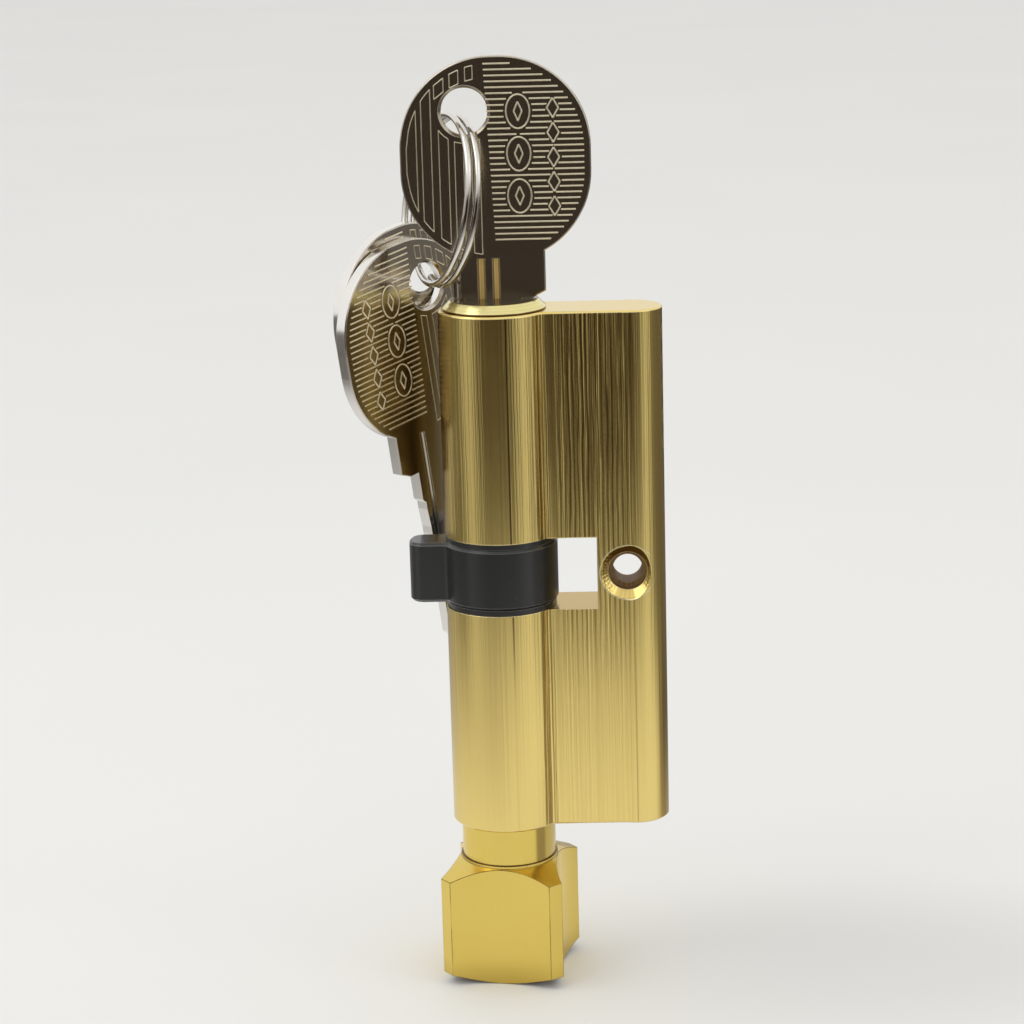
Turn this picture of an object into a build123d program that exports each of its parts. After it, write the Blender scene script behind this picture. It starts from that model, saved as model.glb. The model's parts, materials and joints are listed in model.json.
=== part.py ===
from build123d import *
from math import cos, radians, sin, sqrt
import os

# A euro-profile lock cylinder with a thumbturn, standing on its knob, with its key home in the
# plug and two spare keys on a split ring through that key's bow.
# Millimetres. +Z is up along the turning axis, from the knob to the key. The leg of the euro
# profile points along +X. The origin is the middle of the knob's flat foot.

os.makedirs("parts", exist_ok=True)

# Fits
RUNNING = 0.05            # radial gap of a part that turns in a bore
END_PLAY = 0.05           # gap between the end faces of parts that turn on each other
SLIDING = 0.1             # gap round the key in its keyway, and of a tongue in its slot
PRESSED = 0.02            # gap that stands for a tight fit
MARGIN = 1.0              # how far a cutting shape reaches past what it cuts

# Housing: drawn euro section with a round end for the plug and a rounded leg
ROUND_RADIUS = 8.5
PROFILE_HEIGHT = 33.5
LEG_WIDTH = 10.0
WEB_WIDTH = 9.6
PROFILE_FILLET = 1.2
HOUSING_LENGTH = 80.0
HOUSING_EDGE = 0.25
SLOT_HEIGHT = 11.1
SLOT_WALL_X = 14.6
FIXING_X = 19.2
FIXING_BORE_RADIUS = 2.25
FIXING_STEP_RADIUS = 2.93
FIXING_STEP_DEPTH = 2.75
FIXING_SINK_RADIUS = 4.3

# Thumbturn knob: a square block with cut corners, four waisted sides and turned bevels
KNOB_WIDTH = 18.9
KNOB_DEPTH = 19.1
KNOB_HEIGHT = 18.9
KNOB_CORNER = 1.7
KNOB_WAIST = 1.85
KNOB_TURN = -8.5          # how the knob stands about the axis in the rest pose
KNOB_SHOULDER_DROP = 1.8  # height that the upper bevel falls from the collar to the corners
KNOB_FOOT_RADIUS = 7.6
KNOB_FOOT_RISE = 1.75     # height that the foot's bevel climbs to the corners
COLLAR_RADIUS = 7.5
COLLAR_HEIGHT = 0.45
NECK_RADIUS = 7.25
NECK_LENGTH = 6.3         # with the collar at its foot

# Plug, spindle and the cam between them
PLUG_RADIUS = 6.5
HEAD_RADIUS = 7.75
HEAD_TOP_RADIUS = 6.6
HEAD_RIM = 0.2
HEAD_HEIGHT = 1.4
CLIP_THICKNESS = 0.8
CLIP_GROOVE_RADIUS = 5.6
CLIP_RADIUS = 8.35
CLIP_MOUTH = 9.0
HUB_RADIUS = 8.65
NOSE_RADIUS = 13.9
NOSE_WIDTH = 6.0
NOSE_CORNER = 2.2
NOSE_ROOT_FILLET = 1.0
CAM_EDGE = 0.4
SPINDLE_REACH = 3.6       # how far the spindle stands up into the cam
TONGUE_WIDTH = 3.0
TONGUE_RADIUS = 7.5
TONGUE_DEPTH = 2.4        # height of the spindle's tongue
COUPLER_DEPTH = 1.2       # height of the coupler's tongue, and its travel
COUPLER_LIFT = 5.0        # from the cam's lower face to the coupler's tongue
STEM_RADIUS = 1.5
COUPLER_SPRING_RADIUS = 1.9
COUPLER_SPRING_BORE = 1.3
SHANK_RADIUS = 4.0
SHANK_LENGTH = 17.0
GRUB_RADIUS = 1.6
GRUB_LENGTH = 3.2
GRUB_SOCKET = 0.9
GRUB_HEIGHT = 9.5

# Key
KEY_THICKNESS = 2.0
KEY_EDGE = 0.15
HOLE_EDGE = 0.4
BOW_WIDTH = 28.1
BOW_HEIGHT = 30.25
BOW_FLAT = 1.4            # straight part of the bow's top and foot, between its rounded corners
BOW_X = 0.85
BOW_Z = 20.6
BOW_HOLE_RADIUS = 3.43
BOW_HOLE_X = -3.6
BOW_HOLE_Z = 27.75
SHANK_LEFT = -6.0
SHANK_RIGHT = 7.8
SHANK_TOP = 11.5          # the shank's outline ends here, inside the bow
SHANK_BEVEL = 2.0
SHANK_BEVEL_RISE = 1.0
BLADE_WIDTH = 8.4
BLADE_LENGTH = 30.0
TIP_WIDTH = 1.2
TIP_TAPER = 3.5
TIP_BEVEL = 2.6
GROOVE_TOP = 6.0
FRONT_GROOVES = ((-1.7, 1.15), (0.5, 1.1))  # middle and width of each half-round groove
BACK_GROOVES = ((-3.0, 0.9), (2.2, 1.1))
EDGE_GROOVE = (-5.7, 1.7)   # a wider one along the shank's edge, beside the keyway

# Pin stacks
PIN_COUNT = 5
PIN_FIRST = 5.6           # from the key's shoulder to the first pin
PIN_PITCH = 4.2
CUT_FIRST = 3.6           # height of the blade's edge at the first cut, from the axis
CUT_STEP = 0.25
CUT_FLAT = 1.2
CHAMBER_RADIUS = 1.5
PIN_TIP_RADIUS = 0.5
DRIVER_LENGTH = 4.8
DRIVER_EDGE = 0.25
PIN_SPRING_LENGTH = 8.6
PIN_SPRING_WALL = 0.4
PIN_HOLE_FLOOR = 0.9      # how near the axis the plug's pin holes reach

# Split ring and the spare keys on it
RING_RADIUS = 12.6
RING_WIRE = 1.0
RING_PITCH = 1.45
RING_TURNS = 1.9
RING_START = 252.0        # where round the ring its wire begins
WIRE_SAMPLES = 300        # points along the wire at which its gap to itself is measured
RING_AZIMUTH = -68.3      # direction of the ring's near side
RING_TILT = 10.5          # how far the ring leans back from upright
RING_TOP_ANGLE = 70.5     # where round the ring the key in the plug hangs on it
RING_SEAT_X = -0.3        # the ring in that key's hole, from the hole's middle
RING_SEAT_Z = -1.74
SPARE_YAW = 49.0          # direction that the spare keys' plates lie in
SPARE_ANGLES = (-112.5, -126.0)
SPARE_LEANS = (9.5, 10.5)
SPARE_SEATS = ((0.2, -1.84), (0.3, -1.2))  # each hole's middle from the ring, along and down the plate

# Heights worked out from these
KNOB_TOP = KNOB_HEIGHT
HOUSING_LOW = KNOB_HEIGHT + NECK_LENGTH
HOUSING_HIGH = HOUSING_LOW + HOUSING_LENGTH
SLOT_MIDDLE = HOUSING_LOW + HOUSING_LENGTH / 2
SLOT_LOW = SLOT_MIDDLE - SLOT_HEIGHT / 2
SLOT_HIGH = SLOT_MIDDLE + SLOT_HEIGHT / 2
CLIP_SPACE = CLIP_THICKNESS + 2 * END_PLAY
CAM_LOW = SLOT_LOW + CLIP_SPACE
CAM_HIGH = SLOT_HIGH - CLIP_SPACE
SPINDLE_END = CAM_LOW + SPINDLE_REACH
COUPLER_LOW = CAM_LOW + COUPLER_LIFT
HEAD_LOW = HOUSING_HIGH + END_PLAY
HEAD_TOP = HEAD_LOW + HEAD_HEIGHT
KEY_SHOULDER = HEAD_TOP + SLIDING
KEY_TIP = KEY_SHOULDER - BLADE_LENGTH
LEG_END_X = PROFILE_HEIGHT - ROUND_RADIUS
LEG_CENTRE_X = LEG_END_X - LEG_WIDTH / 2
BORE_RADIUS = PLUG_RADIUS + RUNNING
PIN_RADIUS = CHAMBER_RADIUS - RUNNING
DRIVER_X = BORE_RADIUS + RUNNING
PIN_SPRING_X = DRIVER_X + DRIVER_LENGTH + RUNNING
CHAMBER_PLUG_X = PIN_SPRING_X + PIN_SPRING_LENGTH + RUNNING


def pin_depth(i):
    """Distance of pin i below the key's shoulder."""
    return PIN_FIRST + i * PIN_PITCH


def pin_height(i):
    """Height of pin i's axis."""
    return KEY_SHOULDER - pin_depth(i)


def cut_height(i):
    """Distance of the blade's cut edge from the axis at pin i."""
    return CUT_FIRST - i * CUT_STEP


def save(part, name):
    """Name a finished piece and write it."""
    part.label = name
    export_step(part, "parts/" + name + ".step")


# Sections that more than one piece is made from
with BuildSketch() as euro_section:
    Circle(ROUND_RADIUS)
    with Locations((LEG_CENTRE_X / 2, 0)):
        Rectangle(LEG_CENTRE_X, WEB_WIDTH)
    with Locations((LEG_CENTRE_X, 0)):
        Circle(LEG_WIDTH / 2)
    throat = euro_section.vertices().filter_by_position(Axis.X, ROUND_RADIUS / 2, ROUND_RADIUS)
    fillet(throat, PROFILE_FILLET)

with BuildSketch() as blade_section:
    Rectangle(BLADE_WIDTH, KEY_THICKNESS)
    for x, width in FRONT_GROOVES:
        with Locations((x, -KEY_THICKNESS / 2)):
            Circle(width / 2, mode=Mode.SUBTRACT)
    for x, width in BACK_GROOVES:
        with Locations((x, KEY_THICKNESS / 2)):
            Circle(width / 2, mode=Mode.SUBTRACT)

with BuildSketch() as keyway_section:
    add(blade_section.sketch)
    offset(amount=SLIDING, kind=Kind.INTERSECTION)

# Housing: the drawn bar, cut by the slot, bored for the plug and spindle, drilled from the leg's
# end for the pins, and drilled, stepped and countersunk from both sides for the fixing screw
fixing_plane = Plane(origin=(FIXING_X, -LEG_WIDTH / 2, SLOT_MIDDLE), x_dir=(1, 0, 0), z_dir=(0, -1, 0))
with BuildPart() as housing:
    with BuildSketch(Plane.XY.offset(HOUSING_LOW)):
        add(euro_section.sketch)
    extrude(amount=HOUSING_LENGTH)
    ends = housing.faces().sort_by(Axis.Z)
    chamfer(ends[0].edges() + ends[-1].edges(), HOUSING_EDGE)
    with BuildSketch(Plane.XY.offset(SLOT_LOW)):
        with Locations((SLOT_WALL_X - PROFILE_HEIGHT / 2, 0)):
            Rectangle(PROFILE_HEIGHT, 2 * (ROUND_RADIUS + MARGIN))
    extrude(amount=SLOT_HEIGHT, mode=Mode.SUBTRACT)
    with BuildSketch(Plane.XY.offset(HOUSING_LOW)):
        Circle(BORE_RADIUS)
    extrude(amount=HOUSING_LENGTH, mode=Mode.SUBTRACT)
    with BuildSketch(Plane.YZ.offset(LEG_END_X)):
        for i in range(PIN_COUNT):
            with Locations((0, pin_height(i))):
                Circle(CHAMBER_RADIUS)
    extrude(amount=-LEG_END_X, mode=Mode.SUBTRACT)
    with Locations(fixing_plane, fixing_plane.offset(-LEG_WIDTH).rotated((180, 0, 0))):
        CounterBoreHole(FIXING_BORE_RADIUS, FIXING_STEP_RADIUS, FIXING_STEP_DEPTH)
        CounterSinkHole(FIXING_BORE_RADIUS, FIXING_SINK_RADIUS, counter_sink_angle=90)
save(housing.part, "housing")

# Plugs in the mouths of the pin chambers, milled flush with the leg's rounded end
with BuildPart() as chamber_plugs:
    with BuildSketch(Plane.YZ.offset(CHAMBER_PLUG_X)):
        for i in range(PIN_COUNT):
            with Locations((0, pin_height(i))):
                Circle(CHAMBER_RADIUS - PRESSED)
    extrude(amount=LEG_END_X)
    with BuildSketch(Plane.XY.offset(HOUSING_LOW)):
        add(euro_section.sketch)
    extrude(amount=HOUSING_LENGTH, mode=Mode.INTERSECT)
save(chamber_plugs.part, "chamber_plugs")

# Driver pins and their springs, in the housing's half of each chamber
for i in range(PIN_COUNT):
    with BuildPart() as driver:
        with BuildSketch(Plane.YZ.offset(DRIVER_X)):
            with Locations((0, pin_height(i))):
                Circle(PIN_RADIUS)
        extrude(amount=DRIVER_LENGTH)
        chamfer(driver.edges().filter_by(GeomType.CIRCLE), DRIVER_EDGE)
    save(driver.part, "driver_pin_" + str(i + 1))
    with BuildPart() as pin_spring:
        with BuildSketch(Plane.YZ.offset(PIN_SPRING_X)):
            with Locations((0, pin_height(i))):
                Circle(PIN_RADIUS - RUNNING)
                Circle(PIN_RADIUS - RUNNING - PIN_SPRING_WALL, mode=Mode.SUBTRACT)
        extrude(amount=PIN_SPRING_LENGTH)
    save(pin_spring.part, "pin_spring_" + str(i + 1))

# Key plug: turned barrel with a bevelled head, clip groove, keyway, pin holes, and at its inner
# end a bore and a cross slot for the coupler
with BuildPart() as key_plug:
    with BuildSketch(Plane.XZ):
        with BuildLine():
            Polyline(
                (0, COUPLER_LOW),
                (PLUG_RADIUS, COUPLER_LOW),
                (PLUG_RADIUS, CAM_HIGH),
                (CLIP_GROOVE_RADIUS, CAM_HIGH),
                (CLIP_GROOVE_RADIUS, SLOT_HIGH),
                (PLUG_RADIUS, SLOT_HIGH),
                (PLUG_RADIUS, HEAD_LOW),
                (HEAD_RADIUS, HEAD_LOW),
                (HEAD_RADIUS, HEAD_LOW + HEAD_RIM),
                (HEAD_TOP_RADIUS, HEAD_TOP),
                (0, HEAD_TOP),
                close=True,
            )
        make_face()
    revolve(axis=Axis.Z)
    with BuildSketch(Plane.XY.offset(HEAD_TOP)):
        add(keyway_section.sketch)
    extrude(amount=-(BLADE_LENGTH + SLIDING), mode=Mode.SUBTRACT)
    with BuildSketch(Plane.YZ.offset(PIN_HOLE_FLOOR)):
        for i in range(PIN_COUNT):
            with Locations((0, pin_height(i))):
                Circle(CHAMBER_RADIUS)
    extrude(amount=PLUG_RADIUS, mode=Mode.SUBTRACT)
    with BuildSketch(Plane.XY.offset(COUPLER_LOW)):
        Circle(STEM_RADIUS + RUNNING)
    extrude(amount=KEY_TIP - COUPLER_LOW, mode=Mode.SUBTRACT)
    with BuildSketch(Plane.XY.offset(COUPLER_LOW)):
        Rectangle(TONGUE_WIDTH + 2 * RUNNING, 2 * (PLUG_RADIUS + MARGIN))
    extrude(amount=2 * COUPLER_DEPTH + SLIDING, mode=Mode.SUBTRACT)
save(key_plug.part, "key_plug")

# Key pins: each stands on its cut in the key and ends at the plug's surface
pin_end_x = sqrt((PLUG_RADIUS - RUNNING) ** 2 - PIN_RADIUS ** 2)
for i in range(PIN_COUNT):
    tip_x = cut_height(i) + RUNNING
    with BuildPart() as key_pin:
        with BuildSketch(Plane.XZ.shift_origin((0, 0, pin_height(i)))):
            with BuildLine():
                Polyline(
                    (tip_x, 0),
                    (tip_x, PIN_TIP_RADIUS),
                    (tip_x + PIN_RADIUS - PIN_TIP_RADIUS, PIN_RADIUS),
                    (pin_end_x, PIN_RADIUS),
                    (pin_end_x, 0),
                    close=True,
                )
            make_face()
        revolve(axis=Axis((0, 0, pin_height(i)), (1, 0, 0)))
    save(key_pin.part, "key_pin_" + str(i + 1))

# Coupler: a stem under the key's tip, and a tongue in the plug's cross slot that locks into the cam
with BuildPart() as coupler:
    with BuildSketch(Plane.XY.offset(COUPLER_LOW)):
        Circle(TONGUE_RADIUS)
        Rectangle(TONGUE_WIDTH, 2 * TONGUE_RADIUS, mode=Mode.INTERSECT)
    extrude(amount=COUPLER_DEPTH)
    with BuildSketch(Plane.XY.offset(COUPLER_LOW)):
        Circle(STEM_RADIUS)
    extrude(amount=KEY_TIP - SLIDING - COUPLER_LOW)
save(coupler.part, "coupler")

# Spring that lifts the coupler out of the cam when no key is in
with BuildPart() as coupler_spring:
    with BuildSketch(Plane.XY.offset(SPINDLE_END + END_PLAY)):
        Circle(COUPLER_SPRING_RADIUS)
        Circle(COUPLER_SPRING_BORE, mode=Mode.SUBTRACT)
    extrude(amount=COUPLER_LOW - SPINDLE_END - 2 * END_PLAY)
save(coupler_spring.part, "coupler_spring")

# Spring clips that hold the plug and the spindle in the housing, one at each face of the slot
with BuildSketch() as clip_section:
    Circle(CLIP_RADIUS)
    Circle(CLIP_GROOVE_RADIUS + PRESSED, mode=Mode.SUBTRACT)
    with Locations((0, CLIP_RADIUS / 2)):
        Rectangle(CLIP_MOUTH, CLIP_RADIUS, mode=Mode.SUBTRACT)
for name, low in (("key_plug_clip", CAM_HIGH + END_PLAY), ("spindle_clip", SLOT_LOW + END_PLAY)):
    with BuildPart() as clip:
        with BuildSketch(Plane.XY.offset(low)):
            add(clip_section.sketch)
        extrude(amount=CLIP_THICKNESS)
    save(clip.part, name)

# Cam: hub and nose, with inner notches for the two tongues and a wider bore above them, in which
# the coupler is free when it is lifted
with BuildPart() as cam:
    with BuildSketch(Plane.XY.offset(CAM_LOW)) as cam_outline:
        with Locations((-NOSE_RADIUS / 2, 0)):
            RectangleRounded(NOSE_RADIUS, NOSE_WIDTH, NOSE_CORNER)
        Circle(HUB_RADIUS)
        roots = cam_outline.vertices().filter_by_position(Axis.X, -HUB_RADIUS, -HUB_RADIUS / 2)
        fillet(roots, NOSE_ROOT_FILLET)
    extrude(amount=CAM_HIGH - CAM_LOW)
    chamfer(cam.faces().filter_by(Axis.Z).edges(), CAM_EDGE)
    with BuildSketch(Plane.XY.offset(CAM_LOW)):
        Circle(BORE_RADIUS)
    extrude(amount=CAM_HIGH - CAM_LOW, mode=Mode.SUBTRACT)
    with BuildSketch(Plane.XY.offset(CAM_LOW)):
        Circle(TONGUE_RADIUS + SLIDING)
        Rectangle(TONGUE_WIDTH + 2 * SLIDING, 2 * (TONGUE_RADIUS + MARGIN), mode=Mode.INTERSECT)
    extrude(amount=COUPLER_LIFT + COUPLER_DEPTH + SLIDING, mode=Mode.SUBTRACT)
    with BuildSketch(Plane.XY.offset(COUPLER_LOW + COUPLER_DEPTH + SLIDING)):
        Circle(TONGUE_RADIUS + SLIDING)
    extrude(amount=CAM_HIGH - CAM_LOW, mode=Mode.SUBTRACT)
save(cam.part, "cam")

# Spindle: the thumbturn's barrel in the lower bore, with a shank down into the knob
shank_low = HOUSING_LOW - SHANK_LENGTH
with BuildPart() as spindle:
    with BuildSketch(Plane.XZ):
        with BuildLine():
            Polyline(
                (0, shank_low),
                (SHANK_RADIUS, shank_low),
                (SHANK_RADIUS, HOUSING_LOW - END_PLAY),
                (PLUG_RADIUS, HOUSING_LOW - END_PLAY),
                (PLUG_RADIUS, SLOT_LOW),
                (CLIP_GROOVE_RADIUS, SLOT_LOW),
                (CLIP_GROOVE_RADIUS, CAM_LOW),
                (PLUG_RADIUS, CAM_LOW),
                (PLUG_RADIUS, SPINDLE_END),
                (0, SPINDLE_END),
                close=True,
            )
        make_face()
    revolve(axis=Axis.Z)
    with BuildSketch(Plane.XY.offset(SPINDLE_END)):
        Rectangle(TONGUE_WIDTH + 2 * PRESSED, 2 * (PLUG_RADIUS + MARGIN))
    extrude(amount=-TONGUE_DEPTH, mode=Mode.SUBTRACT)
save(spindle.part, "spindle")

# Tongue pressed into the spindle's end, which carries the cam round
with BuildPart() as cam_tongue:
    with BuildSketch(Plane.XY.offset(SPINDLE_END - TONGUE_DEPTH)):
        Circle(TONGUE_RADIUS)
        Rectangle(TONGUE_WIDTH, 2 * TONGUE_RADIUS, mode=Mode.INTERSECT)
    extrude(amount=TONGUE_DEPTH)
save(cam_tongue.part, "cam_tongue")

# Knob
knob_plane = Plane.XY.rotated((0, 0, KNOB_TURN))
side_chord = KNOB_DEPTH / 2 - KNOB_CORNER
side_radius = (side_chord ** 2 + KNOB_WAIST ** 2) / (2 * KNOB_WAIST)
side_x = KNOB_WIDTH / 2 - KNOB_WAIST + side_radius
front_chord = KNOB_WIDTH / 2 - KNOB_CORNER
front_radius = (front_chord ** 2 + KNOB_WAIST ** 2) / (2 * KNOB_WAIST)
front_y = KNOB_DEPTH / 2 - KNOB_WAIST + front_radius
corner_radius = sqrt((KNOB_WIDTH / 2) ** 2 + side_chord ** 2)
neck_top = HOUSING_LOW - END_PLAY
grub_plane = Plane(knob_plane.offset(GRUB_HEIGHT).origin, x_dir=(0, 0, 1), z_dir=knob_plane.y_dir)
with BuildPart() as knob:
    with BuildSketch(knob_plane):
        Rectangle(KNOB_WIDTH, KNOB_DEPTH)
    extrude(amount=KNOB_HEIGHT)
    chamfer(knob.edges().filter_by(Axis.Z), KNOB_CORNER)
    with BuildSketch(knob_plane):
        with Locations((side_x, 0), (-side_x, 0)):
            Circle(side_radius)
        with Locations((0, front_y), (0, -front_y)):
            Circle(front_radius)
    extrude(amount=KNOB_HEIGHT, mode=Mode.SUBTRACT)
    with BuildSketch(Plane.XZ):
        with BuildLine():
            Polyline(
                (0, 0),
                (KNOB_FOOT_RADIUS, 0),
                (corner_radius, KNOB_FOOT_RISE),
                (corner_radius + MARGIN, KNOB_FOOT_RISE),
                (corner_radius + MARGIN, KNOB_HEIGHT - KNOB_SHOULDER_DROP),
                (corner_radius, KNOB_HEIGHT - KNOB_SHOULDER_DROP),
                (COLLAR_RADIUS, KNOB_HEIGHT),
                (0, KNOB_HEIGHT),
                close=True,
            )
        make_face()
    revolve(axis=Axis.Z, mode=Mode.INTERSECT)
    with BuildSketch(Plane.XY.offset(KNOB_TOP)):
        Circle(COLLAR_RADIUS)
    extrude(amount=COLLAR_HEIGHT)
    with BuildSketch(Plane.XY.offset(KNOB_TOP)):
        Circle(NECK_RADIUS)
    extrude(amount=neck_top - KNOB_TOP)
    with BuildSketch(Plane.XY.offset(neck_top)):
        Circle(SHANK_RADIUS + PRESSED)
    extrude(amount=-SHANK_LENGTH, mode=Mode.SUBTRACT)
    with BuildSketch(grub_plane):
        Circle(GRUB_RADIUS + PRESSED)
    extrude(amount=KNOB_DEPTH, mode=Mode.SUBTRACT)
save(knob.part, "knob")

# Grub screw in the back of the knob, tight on the spindle's shank
with BuildPart() as grub_screw:
    with BuildSketch(grub_plane.offset(SHANK_RADIUS + PRESSED)):
        Circle(GRUB_RADIUS)
    extrude(amount=GRUB_LENGTH)
    with BuildSketch(grub_plane.offset(SHANK_RADIUS + PRESSED + GRUB_LENGTH)):
        RegularPolygon(GRUB_SOCKET, 6)
    extrude(amount=-GRUB_LENGTH / 2, mode=Mode.SUBTRACT)
save(grub_screw.part, "grub_screw")

# Key, drawn about the plug's axis with its shoulder at height 0. The cut edge steps down towards
# the tip, so that the key draws out past pins that stay where they are.
blade_edge = [(-BLADE_WIDTH / 2, MARGIN), (BLADE_WIDTH / 2, MARGIN)]
blade_edge.append((BLADE_WIDTH / 2, CUT_FLAT / 2 + BLADE_WIDTH / 2 - CUT_FIRST - pin_depth(0)))
for i in range(PIN_COUNT):
    blade_edge.append((cut_height(i), CUT_FLAT / 2 - pin_depth(i)))
    blade_edge.append((cut_height(i), -CUT_FLAT / 2 - pin_depth(i)))
tip_left = -BLADE_WIDTH / 2 + TIP_TAPER
blade_edge.append((cut_height(PIN_COUNT - 1), TIP_BEVEL - BLADE_LENGTH))
blade_edge.append((tip_left + TIP_WIDTH, -BLADE_LENGTH))
blade_edge.append((tip_left, -BLADE_LENGTH))
blade_edge.append((-BLADE_WIDTH / 2, TIP_TAPER - BLADE_LENGTH))
with BuildPart() as key:
    with BuildSketch(Plane.XZ):
        with Locations((BOW_X, BOW_Z)):
            RectangleRounded(BOW_WIDTH, BOW_HEIGHT, (BOW_WIDTH - BOW_FLAT) / 2)
        with BuildLine():
            Polyline(
                (SHANK_LEFT, 0),
                (SHANK_RIGHT - SHANK_BEVEL, 0),
                (SHANK_RIGHT, SHANK_BEVEL_RISE),
                (SHANK_RIGHT, SHANK_TOP),
                (SHANK_LEFT, SHANK_TOP),
                close=True,
            )
        make_face()
    extrude(amount=KEY_THICKNESS / 2, both=True)
    chamfer(key.faces().filter_by(Axis.Y).edges(), KEY_EDGE)
    with Locations(Plane.XZ):
        with Locations((BOW_HOLE_X, BOW_HOLE_Z)):
            Hole(BOW_HOLE_RADIUS)
    hole_edges = key.edges().filter_by(GeomType.CIRCLE)
    chamfer(hole_edges.sort_by(SortBy.RADIUS)[0:2], HOLE_EDGE)
    with BuildSketch(Plane.XZ):
        with BuildLine():
            Polyline(*blade_edge, close=True)
        make_face()
    extrude(amount=KEY_THICKNESS / 2, both=True)
    for side, grooves in ((-1, FRONT_GROOVES + (EDGE_GROOVE,)), (1, BACK_GROOVES)):
        for x, width in grooves:
            with BuildSketch(Plane.XY.offset(GROOVE_TOP)):
                with Locations((x, side * KEY_THICKNESS / 2)):
                    Circle(width / 2)
            extrude(amount=-(GROOVE_TOP + BLADE_LENGTH), mode=Mode.SUBTRACT)
key_in_plug = Pos(0, 0, KEY_SHOULDER) * key.part
save(key_in_plug, "key_in_plug")

# Split ring: one wire of nearly two turns. It hangs in the key's hole and leans back
near = Vector(cos(radians(RING_AZIMUTH)), sin(radians(RING_AZIMUTH)), 0)
aside = Vector(-sin(radians(RING_AZIMUTH)), cos(radians(RING_AZIMUTH)), 0)
rise = Vector(0, 0, 1) * cos(radians(RING_TILT)) + aside * sin(radians(RING_TILT))


def round_ring(angle):
    """Vector from the ring's middle to the middle of its wire at an angle round it."""
    return (near * cos(radians(angle)) + rise * sin(radians(angle))) * RING_RADIUS


ring_seat = Vector(BOW_HOLE_X + RING_SEAT_X, 0, KEY_SHOULDER + BOW_HOLE_Z + RING_SEAT_Z)
ring_middle = ring_seat - round_ring(RING_TOP_ANGLE)
ring_plane = Plane(origin=ring_middle, x_dir=near, z_dir=near.cross(rise))
ring_height = RING_PITCH * RING_TURNS
with BuildPart() as ring:
    with BuildLine() as ring_line:
        Helix(RING_PITCH, ring_height, RING_RADIUS, center=(0, 0, -ring_height / 2))
    with BuildSketch(Plane(origin=ring_line.line @ 0, z_dir=ring_line.line % 0)):
        Circle(RING_WIRE / 2)
    sweep(path=ring_line.line, is_frenet=True)
split_ring = ring_plane.location * Rot(0, 0, RING_START) * ring.part
save(split_ring, "split_ring")
wire_points = [ring_line.line @ (i / WIRE_SAMPLES) for i in range(WIRE_SAMPLES + 1)]
half_turn = int(WIRE_SAMPLES / RING_TURNS / 2)
gaps = []
for i, point in enumerate(wire_points):
    for other in wire_points[i + half_turn:]:
        gaps.append((point - other).length - RING_WIRE)
print("split ring: least gap between its turns", round(min(gaps), 2), "mm")

# Spare keys, turned round so that their backs face forward, hanging on the ring behind the housing
along_plate = Vector(cos(radians(SPARE_YAW)), sin(radians(SPARE_YAW)), 0)
spare_names = ("spare_key_front", "spare_key_rear")
for name, angle, lean, seat in zip(spare_names, SPARE_ANGLES, SPARE_LEANS, SPARE_SEATS):
    hole = ring_middle + round_ring(angle) + along_plate * seat[0] + Vector(0, 0, seat[1])
    turned = Rot(0, 0, SPARE_YAW) * Rot(0, -lean, 0) * Rot(0, 0, 180)
    spare = Pos(*hole) * turned * Pos(-BOW_HOLE_X, 0, -BOW_HOLE_Z) * key.part
    save(spare, name)
    print(name, "hole at", [round(v, 2) for v in hole])
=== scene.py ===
# %% [markdown]
# # A lock cylinder with its keys
#
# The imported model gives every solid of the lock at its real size: the drawn brass
# housing, the plug, the knob, the black cam, the key in its keyway and two spare keys
# on a ring. This lesson dresses them: a camera where the photographer stood, a pale
# table, soft light, a finish for each metal, and the fine relief that a plain solid
# leaves out.

# %% Load the frame
import json
import math

import bmesh
import bpy
from mathutils import Matrix, Vector


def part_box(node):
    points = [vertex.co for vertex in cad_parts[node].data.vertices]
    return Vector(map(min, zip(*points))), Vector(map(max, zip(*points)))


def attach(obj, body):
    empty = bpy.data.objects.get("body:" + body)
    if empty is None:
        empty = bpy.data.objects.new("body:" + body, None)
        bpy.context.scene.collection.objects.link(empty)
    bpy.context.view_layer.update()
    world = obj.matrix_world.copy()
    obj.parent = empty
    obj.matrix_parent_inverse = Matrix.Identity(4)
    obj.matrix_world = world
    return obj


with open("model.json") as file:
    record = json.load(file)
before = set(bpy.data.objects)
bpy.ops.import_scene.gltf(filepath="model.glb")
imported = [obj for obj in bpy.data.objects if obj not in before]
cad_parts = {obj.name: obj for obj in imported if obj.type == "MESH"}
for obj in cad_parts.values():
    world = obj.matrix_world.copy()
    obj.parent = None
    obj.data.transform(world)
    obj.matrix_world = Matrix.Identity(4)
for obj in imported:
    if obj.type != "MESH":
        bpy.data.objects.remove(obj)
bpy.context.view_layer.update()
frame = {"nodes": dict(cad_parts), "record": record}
nodes = frame["nodes"]
MM = 0.001

# %% [markdown]
# ## The camera
#
# A lens and a place can be guessed by eye and corrected, or solved from a few points
# whose real places are known. Here corners of the housing, the slot and the knob were
# matched with their places in the picture, which gives one place and turn that fits
# them all: a little above the lock, looking down by 14 degrees, from 40 cm away.

# %% The photographer's camera
SENSOR_WIDTH = 36.0
PICTURE_WIDTH = 1024
FOCAL_PIXELS = 2753.0
NEAREST = 0.01
FARTHEST = 50.0
CAMERA_PLACE = Vector((15.2, -405.4, 174.9)) * MM
CAMERA_TURN = math.radians(1.89)
CAMERA_PITCH = math.radians(14.0)
CAMERA_ROLL = math.radians(-1.59)

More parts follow.
